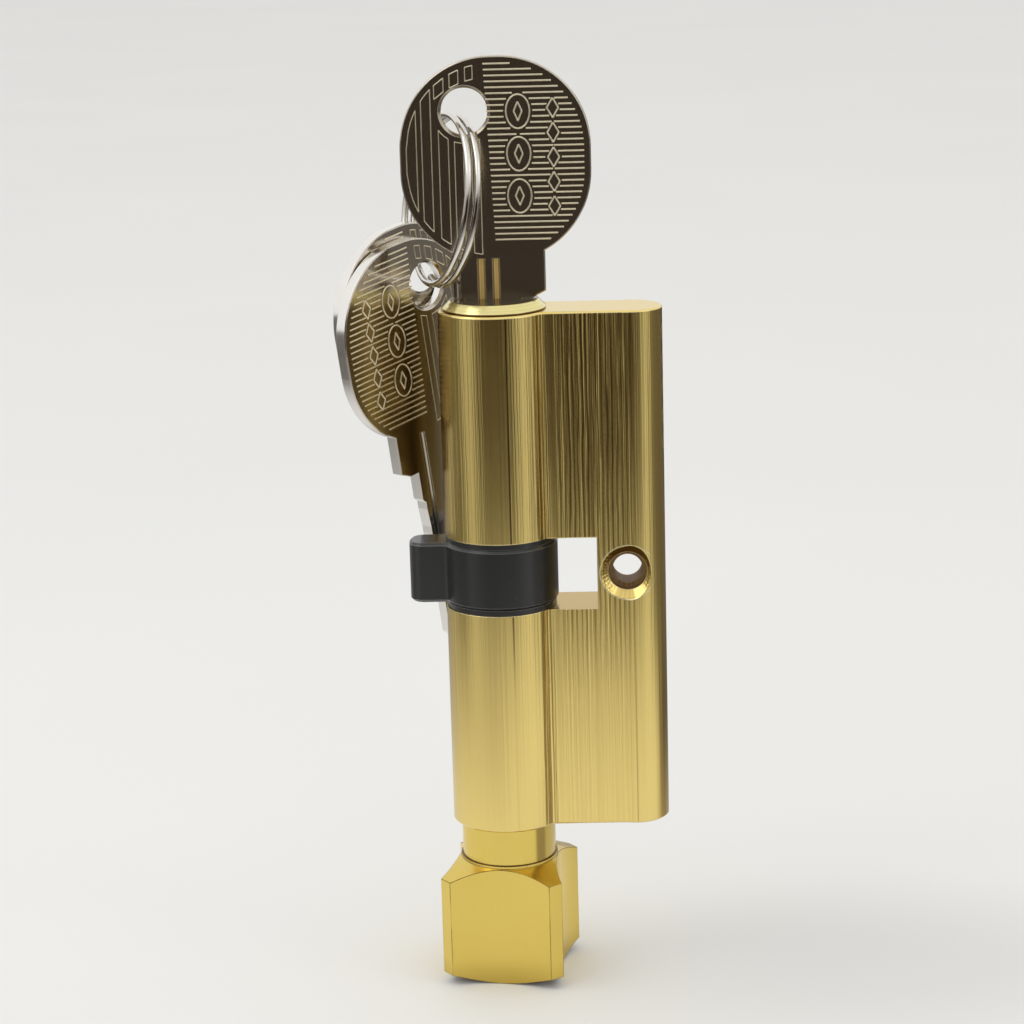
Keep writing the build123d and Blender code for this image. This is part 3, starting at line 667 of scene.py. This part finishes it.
# The keys' edges carry a painted highlight.
key_nickel = metal("key_nickel", (0.6, 0.545, 0.47), (0.43, 0.385, 0.315), 0.12, lift=0.0000004,
                   edge_colour=NICKEL_EDGE, edge_radius=NICKEL_EDGE_RADIUS, stains_and_painted_light=rim_highlight)
key_home = metal("key_nickel_home", (0.55, 0.49, 0.395), (0.4, 0.34, 0.26), 0.14, lift=0.0000004,
                 edge_colour=NICKEL_EDGE, edge_radius=NICKEL_EDGE_RADIUS, stains_and_painted_light=groove_brass_and_reflection)
# Painted highlight: the ribs are the keys' nickel, painted much lighter.
key_rib_highlight = metal("key_rib_highlight", (1.0, 0.92, 0.72), (0.9, 0.78, 0.54), 0.3, lift=0.0000003)

# %% [markdown]
# ## The drawn bar
#
# The housing is one long bar pulled through a die, and the die leaves lines along its
# whole length. They are deepest on the flat web, finer on the round barrel and the
# bead, and gone where a cutter has been: the ends, the slot and the screw's sink. One
# texture would put lines on all of them, so the depth is set by the place on the bar.
# The lines are dark near the top, where they mirror the shadow, and faint near the foot.

# %% Where on the bar a point lies
screw_hole = next(m for m in frame["record"]["mounts"] if m["name"] == "fixing_screw_hole")["pos_m"]
SINK_RADIUS = 4.3 * MM
BORE_RADIUS = 3.0 * MM
LEG_FACE = 5.0 * MM
WEB_START = 8.2 * MM
BEAD_START = 20.3 * MM
drawn_brass, tree, output = new_material("drawn_brass")
place, facing = place_on(tree), facing_of(tree)
across, height = place["X"], place["Z"]
above_hole = maths(tree, "SUBTRACT", height, screw_hole[2])
from_hole = distance_from(tree, maths(tree, "SUBTRACT", across, screw_hole[0]), above_hole)
below_face = maths(tree, "SUBTRACT", LEG_FACE, maths(tree, "ABSOLUTE", place["Y"]))
cone_reach = maths(tree, "ADD", from_hole, below_face)
outside_sink = smooth_step(tree, cone_reach, SINK_RADIUS - 0.04 * MM, SINK_RADIUS + 0.03 * MM)
in_sink = maths(tree, "SUBTRACT", 1.0, outside_sink)
upright_face = smooth_step(tree, maths(tree, "ABSOLUTE", facing["Z"]), 0.3, 0.7, 1.0, 0.0)
level_face = maths(tree, "SUBTRACT", 1.0, upright_face)
web = smooth_step(tree, across, WEB_START, WEB_START + MM)
bead = smooth_step(tree, across, BEAD_START - MM, BEAD_START + MM)
print("screw hole in mm:", [round(v / MM, 2) for v in screw_hole])

# %% How deep the lines are
BARREL_DEPTH = 0.3
WEB_DEPTH = 0.7
BEAD_LOSS = 0.8
THROAT_DEPTH = 0.6
THROAT_LINES_X = 6.8 * MM
lines = use_group(tree, drawn_lines, {"Lines per mm": 6.0, "Length": 0.0025, "Wander": 0.00025})
wear = use_group(tree, handling, {"Amount": 0.8})
edges = use_group(tree, found_edges, {"Radius": 0.0002})
in_throat = near(tree, across, THROAT_LINES_X, 0.9 * MM, 0.4 * MM)
depth = plus(tree, BARREL_DEPTH, web, WEB_DEPTH)
depth = plus(tree, depth, bead, -BEAD_LOSS)
depth = plus(tree, depth, in_throat, THROAT_DEPTH)
depth = product(tree, depth, outside_sink, upright_face)
print("depth on the barrel, web and bead:", BARREL_DEPTH, BARREL_DEPTH + WEB_DEPTH,
      round(BARREL_DEPTH + WEB_DEPTH - BEAD_LOSS, 2))

# %% The lines' tones
STREAK_SHARE = 0.22
DEEP_SHARE = 0.4
DEEP_LINE = (0.2, 0.13, 0.04)
ROW_LINE = (0.18, 0.11, 0.032)


def climb(low, high, least, most):
    """A share that goes from least to most between two heights on the bar, in millimetres."""
    return smooth_step(tree, height, low * MM, high * MM, least, most)


on_web = product(tree, web, maths(tree, "SUBTRACT", 1.0, bead), upright_face, outside_sink)
streak_mask = product(tree, lines["Streaks"], depth, climb(35, 65, 0.4, 1.0), STREAK_SHARE)
deep_mask = product(tree, lines["Deep lines"], depth, DEEP_SHARE, climb(48, 66, 0.03, 1.0))
row_mask = product(tree, lines["Rows"], on_web, smooth_step(tree, lines["Bands"], 0.3, 0.6, 0.55, 0.9),
                   climb(44, 66, 0.06, 0.85))
base = BRASS
for mask, line_tone in ((streak_mask, BRASS_DEEP), (deep_mask, DEEP_LINE), (row_mask, ROW_LINE)):
    base = mix_colour(tree, mask, base, line_tone)
print("streaks at most:", STREAK_SHARE, "deep lines at most:", DEEP_SHARE)

# %% Painted shade and reflections: darker rims, a tint on upward faces, the dark line on the barrel and the bead's line; and the throat's lines
RIM_START, RIM_END = 22.9 * MM, 24.0 * MM
LEFT_START, LEFT_STOP = -8.0 * MM, -6.2 * MM
DARK_LINE_X = 1.85 * MM
BEAD_LINE_X = BEAD_START - 0.15 * MM
DARK_REFLECTION = (0.1, 0.06, 0.02)
THROAT_LINE = (0.22, 0.14, 0.045)
# Painted shade: both rims of the bar are darker.
bead_rim = product(tree, smooth_step(tree, across, RIM_START, RIM_END), upright_face,
                   climb(35, 60, 0.85, 0.5))
left_rim = product(tree, smooth_step(tree, across, LEFT_START, LEFT_STOP, 1.0, 0.0), upright_face,
                   climb(30, 60, 0.15, 0.55))
painted_rim_shade = maths(tree, "MAXIMUM", bead_rim, left_rim)
# Painted reflection: faces that look up take a little of the deep brass tone.
sky_side = smooth_step(tree, facing["Z"], 0.7, 0.95, 0.0, 0.15)
# Painted reflection: a dark line down the barrel, strongest high up.
beside = maths(tree, "ABSOLUTE", maths(tree, "SUBTRACT", across, DARK_LINE_X))
dark_reflection_line = product(tree, smooth_step(tree, beside, 0.05 * MM, 0.22 * MM, 0.9, 0.0), upright_face,
                    smooth_step(tree, lines["Bands"], 0.3, 0.5, 0.3, 1.0), climb(45, 62, 0.1, 1.0))
# Painted shade: a dark line at the small step from the web to the bead.
bead_step_shade = product(tree, near(tree, across, BEAD_LINE_X, 0.04 * MM, 0.12 * MM), upright_face,
                    outside_sink, 0.6)
throat_lines = product(tree, in_throat, lines["Streaks"], upright_face, 0.75)
for mask, mark_tone in ((painted_rim_shade, BRASS_DEEP), (sky_side, BRASS_DEEP), (dark_reflection_line, DARK_REFLECTION),
                    (bead_step_shade, BRASS_DEEP), (throat_lines, THROAT_LINE)):
    base = mix_colour(tree, mask, base, mark_tone)
print("dark line in mm:", round(DARK_LINE_X / MM, 2), "throat in mm:", round(THROAT_LINES_X / MM, 2))

# %% Specks, painted highlights on edges and rims, and what the cutters left, with painted shade: the slot, the bore and the sink
SPECK = (0.98, 0.9, 0.66)
THROAT_X = 7.8 * MM
SLOT_HALF = 6.0 * MM
SLOT_TONE = (0.44, 0.28, 0.06)
BORE_TONE = (0.2, 0.11, 0.04)
SINK_SHADE = (0.26, 0.16, 0.045)
from_throat = maths(tree, "ABSOLUTE", maths(tree, "SUBTRACT", across, THROAT_X))
# Painted highlight along the bar's edges, away from the throat.
edge_highlight = product(tree, edges["Edge"], smooth_step(tree, from_throat, 1.2 * MM, 1.8 * MM))
# The slot's level faces: a darker milled tone, and painted shade under the cam.
in_slot = product(tree, near(tree, height, screw_hole[2], SLOT_HALF, MM), level_face, outside_sink, 0.75)
# Painted shade deep in the bore; below it is also made rougher and less of a mirror.
in_bore = smooth_step(tree, from_hole, BORE_RADIUS - 0.03 * MM, BORE_RADIUS + 0.03 * MM, 0.9, 0.0)
sink_shade = product(tree, in_sink, smooth_step(tree, above_hole, -1.5 * MM, 0.8 * MM), 0.8)
# Painted highlights: thin bright rings at the bore's rim and at the sink's rim.
bore_rim = product(tree, near(tree, from_hole, BORE_RADIUS - 0.05 * MM, 0.06 * MM, 0.06 * MM), in_sink)
at_face = smooth_step(tree, below_face, -0.01 * MM, 2.0 * MM, 1.0, 0.0)
sink_rim = product(tree, near(tree, from_hole, SINK_RADIUS - 0.06 * MM, 0.05 * MM, 0.05 * MM), at_face)
for mask, mark_tone in ((wear["Specks"], SPECK), (edge_highlight, BRASS_EDGE), (in_slot, SLOT_TONE),
                    (in_bore, BORE_TONE), (sink_shade, SINK_SHADE), (bore_rim, BRASS_EDGE),
                    (sink_rim, BRASS_EDGE)):
    base = mix_colour(tree, mask, base, mark_tone)
print("sink and bore in mm:", round(SINK_RADIUS / MM, 2), round(BORE_RADIUS / MM, 2))

# %% Gloss and relief
CUT_ROUGHNESS = 0.1
BAND_SHARE = 0.35
LINE_HEIGHT = 0.00022
rough = plus(tree, CUT_ROUGHNESS, outside_sink, 0.07)
rough = plus(tree, rough, wear["Clouds"], 0.06)
rough = plus(tree, rough, in_bore, 0.4)
metallic = plus(tree, 1.0, in_bore, -0.6)
bands = product(tree, lines["Bands"], upright_face, outside_sink)
relief = plus(tree, maths(tree, "MULTIPLY", lines["Height"], depth), bands, BAND_SHARE)
bump = add_node(tree, "Bump", Strength=1.0, Distance=LINE_HEIGHT, Height=relief,
                Normal=edges["Normal"]).outputs["Normal"]
shader = add_node(tree, "BsdfPrincipled", Base_Color=base, Metallic=metallic, Roughness=rough, Normal=bump)
tree.links.new(shader.outputs[0], output.inputs["Surface"])
print("drawn_brass nodes:", len(tree.nodes))

# %% Which finish each node has
FINISHES = {
    "housing": drawn_brass, "knob": knob_brass, "key_plug": turned_brass, "spindle": turned_brass,
    "coupler": spring_wire, "coupler_spring": spring_wire, "chamber_plugs": pin_brass,
    "cam": black_steel, "cam_tongue": black_steel, "key_plug_clip": black_steel,
    "spindle_clip": black_steel, "grub_screw": black_steel, "split_ring": ring_steel,
    "key_in_plug": key_home, "spare_key_front": key_nickel, "spare_key_rear": key_nickel}
for number in range(1, 6):
    FINISHES[f"key_pin_{number}"] = pin_brass
    FINISHES[f"driver_pin_{number}"] = pin_brass
    FINISHES[f"pin_spring_{number}"] = spring_wire
for name, material in FINISHES.items():
    materials = nodes[name].data.materials
    materials.clear()
    materials.append(material)
print("nodes left without a finish:", sorted(set(nodes) - set(FINISHES)))

# %% [markdown]
# ## The pressed pattern on the keys' bows
#
# A real key's bow carries fine raised lines that shine against the dark plate. They
# are a few hundredths of a millimetre high, so each is a rounded rib that catches
# light from above and below. A texture could paint them, but only a true rib keeps its
# glint from every side. One rib is modelled from a bar: its long top edges are
# bevelled round, and every line of the pattern is a copy with its own length. The
# ribs' nickel is painted much lighter than the plate's, a painted highlight.

# %% Select and shape in edit mode
def only(piece):
    """Makes one piece the selected and active one."""
    deselect_all()
    piece.select_set(True)
    bpy.context.view_layer.objects.active = piece


def edit(piece):
    """Opens one piece in edit mode."""
    only(piece)
    bpy.ops.object.mode_set(mode="EDIT")


def pick(piece, kind, test):
    """In edit mode, selects the verts or edges that pass the test."""
    bpy.ops.mesh.select_mode(type=kind)
    bpy.ops.mesh.select_all(action="DESELECT")
    mesh = bmesh.from_edit_mesh(piece.data)
    for item in {"VERT": mesh.verts, "EDGE": mesh.edges}[kind]:
        if test(item):
            item.select_set(True)
    mesh.select_flush_mode()
    bmesh.update_edit_mesh(piece.data)


def done(piece):
    """Closes edit mode and puts the piece's place into its mesh."""
    only(piece)
    bpy.ops.object.transform_apply(location=True, rotation=True, scale=True)


# %% Copy, join and drop pieces
def copy_of(piece, name):
    """A copy with its own mesh."""
    twin = piece.copy()
    twin.data = piece.data.copy()
    twin.name = name
    bpy.context.scene.collection.objects.link(twin)
    return twin


def join(pieces, name):
    """Several pieces made one."""
    deselect_all()
    for piece in pieces:
        piece.select_set(True)
    bpy.context.view_layer.objects.active = pieces[0]
    bpy.ops.object.join()
    pieces[0].name = name
    return pieces[0]


def drop(piece):
    """Takes away a piece that was only a start."""
    bpy.data.objects.remove(piece, do_unlink=True)


# %% The key's own measures, in its own frame: along the plate, and up from the shoulder
BOW_X = 0.85
BOW_Z = 20.6
BOW_WIDTH = 28.1
BOW_HEIGHT = 30.25
BOW_CORNER = 13.35
HOLE_X = -3.6
HOLE_Z = 27.75
HOLE_RADIUS = 3.43
PLATE_HALF = 1.0
plate_low, plate_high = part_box("key_in_plug")
print("bow in mm:", round((plate_high.x - plate_low.x) / MM, 2), "across")

# %% One raised rib, a millimetre long, and a thinner one
RIB_WIDTH = 0.25
RIB_HEIGHT = 0.08
RIB_SUNK = 0.03
RIB_ROUND = 0.98 * RIB_HEIGHT
THIN_SCALE = (1, 0.8, 0.6)


def is_top_edge(edge):
    """Whether an edge runs along the rib's outer side."""
    first, second = (corner.co for corner in edge.verts)
    return max(first.y, second.y) < -0.01 and abs(first.x - second.x) > 0.5


deselect_all()
bpy.ops.mesh.primitive_cube_add(size=1, location=(0.5, 0, 0))
rib = bpy.context.object
rib.name = "rib"
bpy.ops.object.transform_apply(location=True, rotation=True, scale=True)
edit(rib)
bpy.ops.mesh.select_all(action="SELECT")
bpy.ops.transform.resize(value=(1, RIB_HEIGHT + RIB_SUNK, RIB_WIDTH))
bpy.ops.transform.translate(value=(0, -(RIB_HEIGHT - RIB_SUNK) / 2, 0))
pick(rib, "EDGE", is_top_edge)
bpy.ops.mesh.bevel(offset=RIB_ROUND, segments=4, affect="EDGES")
done(rib)
thin_rib = copy_of(rib, "thin_rib")
edit(thin_rib)
bpy.ops.mesh.select_all(action="SELECT")
bpy.ops.transform.resize(value=THIN_SCALE, center_override=(0, 0, 0))
done(thin_rib)
print("rib faces:", len(rib.data.polygons))

# %% Ribs from one point to another
ribs = []


def lay_rib(start, end, model=rib):
    """A rib from one point of the bow to another, in millimetres: along the plate and up."""
    twin = copy_of(model, "line")
    reach_x, reach_z = end[0] - start[0], end[1] - start[1]
    edit(twin)
    pick(twin, "VERT", lambda corner: corner.co.x > 0.5)
    bpy.ops.transform.translate(value=(math.hypot(reach_x, reach_z) - 1, 0, 0))
    bpy.ops.object.mode_set(mode="OBJECT")
    angle = math.atan2(reach_z, reach_x)
    twin.data.transform(Matrix.Translation((start[0], 0, start[1])) @ Matrix.Rotation(-angle, 4, "Y"))
    ribs.append(twin)


def lay_outline(corners, model=rib):
    """Ribs round a closed outline."""
    for first, second in zip(corners, corners[1:] + corners[:1]):
        lay_rib(first, second, model)


# %% How far the bow reaches
def bow_half_chord(height, inset):
    """Half the bow's width at a height, inside its rim by the inset."""
    radius = BOW_CORNER - inset
    rise = max(abs(height - BOW_Z) - (BOW_HEIGHT / 2 - BOW_CORNER), 0)
    return BOW_WIDTH / 2 - BOW_CORNER + math.sqrt(max(radius * radius - rise * rise, 0))


def bow_half_height(along, inset):
    """Half the bow's height at a place along it, inside its rim by the inset."""
    radius = BOW_CORNER - inset
    reach = max(abs(along - BOW_X) - (BOW_WIDTH / 2 - BOW_CORNER), 0)
    return BOW_HEIGHT / 2 - BOW_CORNER + math.sqrt(max(radius * radius - reach * reach, 0))


# %% The pattern's right side: ovals and lozenges
OVAL = (1.75, 2.5)
OVAL_STEPS = 20
OVAL_X = 4.3
OVAL_HEIGHTS = (27.6, 21.4, 15.2)
LOZENGE = (0.85, 1.45)
LOZENGE_STEPS = 4
LOZENGE_X = 9.4
LOZENGE_HEIGHTS = (28.0, 24.4, 20.8, 17.2, 13.6)
INNER_LOZENGE = (0.6, 1.4)
MOTIF_MARGIN = 0.4
motifs = [(OVAL_X, z, *OVAL, OVAL_STEPS) for z in OVAL_HEIGHTS]
motifs += [(LOZENGE_X, z, *LOZENGE, LOZENGE_STEPS) for z in LOZENGE_HEIGHTS]


def motif_corners(x, z, half_width, half_height, steps):
    """The corners of an oval, or with four steps of a lozenge."""
    angles = [2 * math.pi * step / steps for step in range(steps)]
    return [(x + half_width * math.cos(angle), z + half_height * math.sin(angle)) for angle in angles]


def motif_reach(height, middle, half_width, half_height, steps):
    """Half the width that a motif keeps clear at a height: an oval's chord, or a lozenge's."""
    rise = abs(height - middle) / (half_height + MOTIF_MARGIN)
    if rise >= 1:
        return 0
    chord = 1 - rise if steps == LOZENGE_STEPS else math.sqrt(1 - rise * rise)
    return (half_width + MOTIF_MARGIN) * chord


for motif in motifs:
    lay_outline(motif_corners(*motif))
for z in OVAL_HEIGHTS:
    lay_outline(motif_corners(OVAL_X, z, *INNER_LOZENGE, LOZENGE_STEPS))
print("motifs:", len(motifs), "ribs:", len(ribs))

# %% The pattern's right side: level lines that break round them
LINE_PITCH = 0.86
LINE_INSET = 1.0
LINE_COUNT = 31
FIELD_MIDDLE = 21.7
LEAST_LINE = 0.35
FIELD_TOP = (-0.65, 34.5)
FIELD_FOOT = (0.6, 8.0)


def field_left(height):
    """Where the level lines begin, on a line that leans a little."""
    share = (height - FIELD_FOOT[1]) / (FIELD_TOP[1] - FIELD_FOOT[1])
    return FIELD_FOOT[0] + (FIELD_TOP[0] - FIELD_FOOT[0]) * share


for count in range(LINE_COUNT):
    line_height = FIELD_MIDDLE + (count - (LINE_COUNT - 1) / 2) * LINE_PITCH
    line_start = field_left(line_height)
    for x, z, half_width, half_height, steps in motifs:
        reach = motif_reach(line_height, z, half_width, half_height, steps)
        if reach:
            lay_rib((line_start, line_height), (x - reach, line_height))
            line_start = x + reach
    line_end = BOW_X + bow_half_chord(line_height, LINE_INSET)
    if line_end - line_start > LEAST_LINE:
        lay_rib((line_start, line_height), (line_end, line_height))
print("ribs with the level lines:", len(ribs))

# %% Its left side: narrow upright outlines that end at the rim or the hole, and boxes over the hole
UPRIGHTS = ((-12.2, -10.7), (-9.9, -8.5), (-7.4, -6.0), (-5.1, -3.8), (-2.6, -1.4))
BOXES = ((-7.9, -6.5), (-5.6, -4.3), (-3.3, -2.2))
OUTLINE_INSET = 1.1
OUTLINE_STEPS = 4
HOLE_MARGIN = 1.2
BOX_DEPTH = 2.0


def under_hole(along, height):
    """The height, or less where the hole and its margin are in the way."""
    clearance = HOLE_RADIUS + HOLE_MARGIN
    aside = abs(along - HOLE_X)
    if aside >= clearance:
        return height
    return min(height, HOLE_Z - math.sqrt(clearance * clearance - aside * aside))


def steps_across(left, right):
    """Places from the left to the right side of an outline."""
    return [left + (right - left) * step / OUTLINE_STEPS for step in range(OUTLINE_STEPS + 1)]


for left, right in UPRIGHTS:
    foot = [(x, BOW_Z - bow_half_height(x, OUTLINE_INSET)) for x in steps_across(left, right)]
    top = [(x, under_hole(x, BOW_Z + bow_half_height(x, OUTLINE_INSET))) for x in steps_across(right, left)]
    lay_outline(foot + top, thin_rib)
for left, right in BOXES:
    top = [(x, BOW_Z + bow_half_height(x, OUTLINE_INSET)) for x in (left, right)]
    lay_outline([(x, z - BOX_DEPTH) for x, z in top] + top[::-1], thin_rib)
bow_pattern = join(ribs, "bow_pattern")
drop(rib)
drop(thin_rib)
print("ribs:", len(ribs), "faces:", len(bow_pattern.data.polygons))

# %% Where each key's own frame lies
SPARE_LEANS = {"spare_key_front": 9.5, "spare_key_rear": 10.5}
SPARE_HOLES = {"spare_key_front": (-11.09, 6.95, 107.8), "spare_key_rear": (-11.73, 9.53, 109.86)}
key_places = {"key_in_plug": Matrix.Translation((0, 0, KEY_SHOULDER))}
for name, hole in SPARE_HOLES.items():
    turned = (Matrix.Rotation(SPARE_YAW, 4, "Z")
              @ Matrix.Rotation(math.radians(-SPARE_LEANS[name]), 4, "Y")
              @ Matrix.Rotation(math.pi, 4, "Z"))
    key_places[name] = Matrix.Translation(hole) @ turned @ Matrix.Translation((-HOLE_X, 0, -HOLE_Z))
print("spare keys lean in degrees:", SPARE_LEANS)

# %% Both faces of all three keys carry the pattern
KEY_BODIES = {"key_in_plug": "key", "spare_key_front": "spare_key_1", "spare_key_rear": "spare_key_2"}
SMOOTH_ANGLE = math.radians(50)
to_metres = Matrix.Scale(MM, 4)
to_face = Matrix.Translation((0, -PLATE_HALF, 0))
flips = {"front": Matrix.Identity(4), "back": Matrix.Scale(-1, 4, (0, 1, 0))}
for name, key_place in key_places.items():
    for face, flip in flips.items():
        key_lines = copy_of(bow_pattern, f"{name}_lines_{face}")
        key_lines.data.transform(to_metres @ key_place @ flip @ to_face)
        if face == "back":    # the mirror has turned its faces inwards
            edit(key_lines)
            bpy.ops.mesh.select_all(action="SELECT")
            bpy.ops.mesh.normals_make_consistent(inside=False)
        only(key_lines)
        bpy.ops.object.shade_smooth_by_angle(angle=SMOOTH_ANGLE)
        key_lines.data.materials.clear()
        key_lines.data.materials.append(key_rib_highlight)
        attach(key_lines, KEY_BODIES[name])
drop(bow_pattern)
print("patterned faces:", len(key_places) * len(flips))

# %% Bring the scene up to date
bpy.context.view_layer.update()
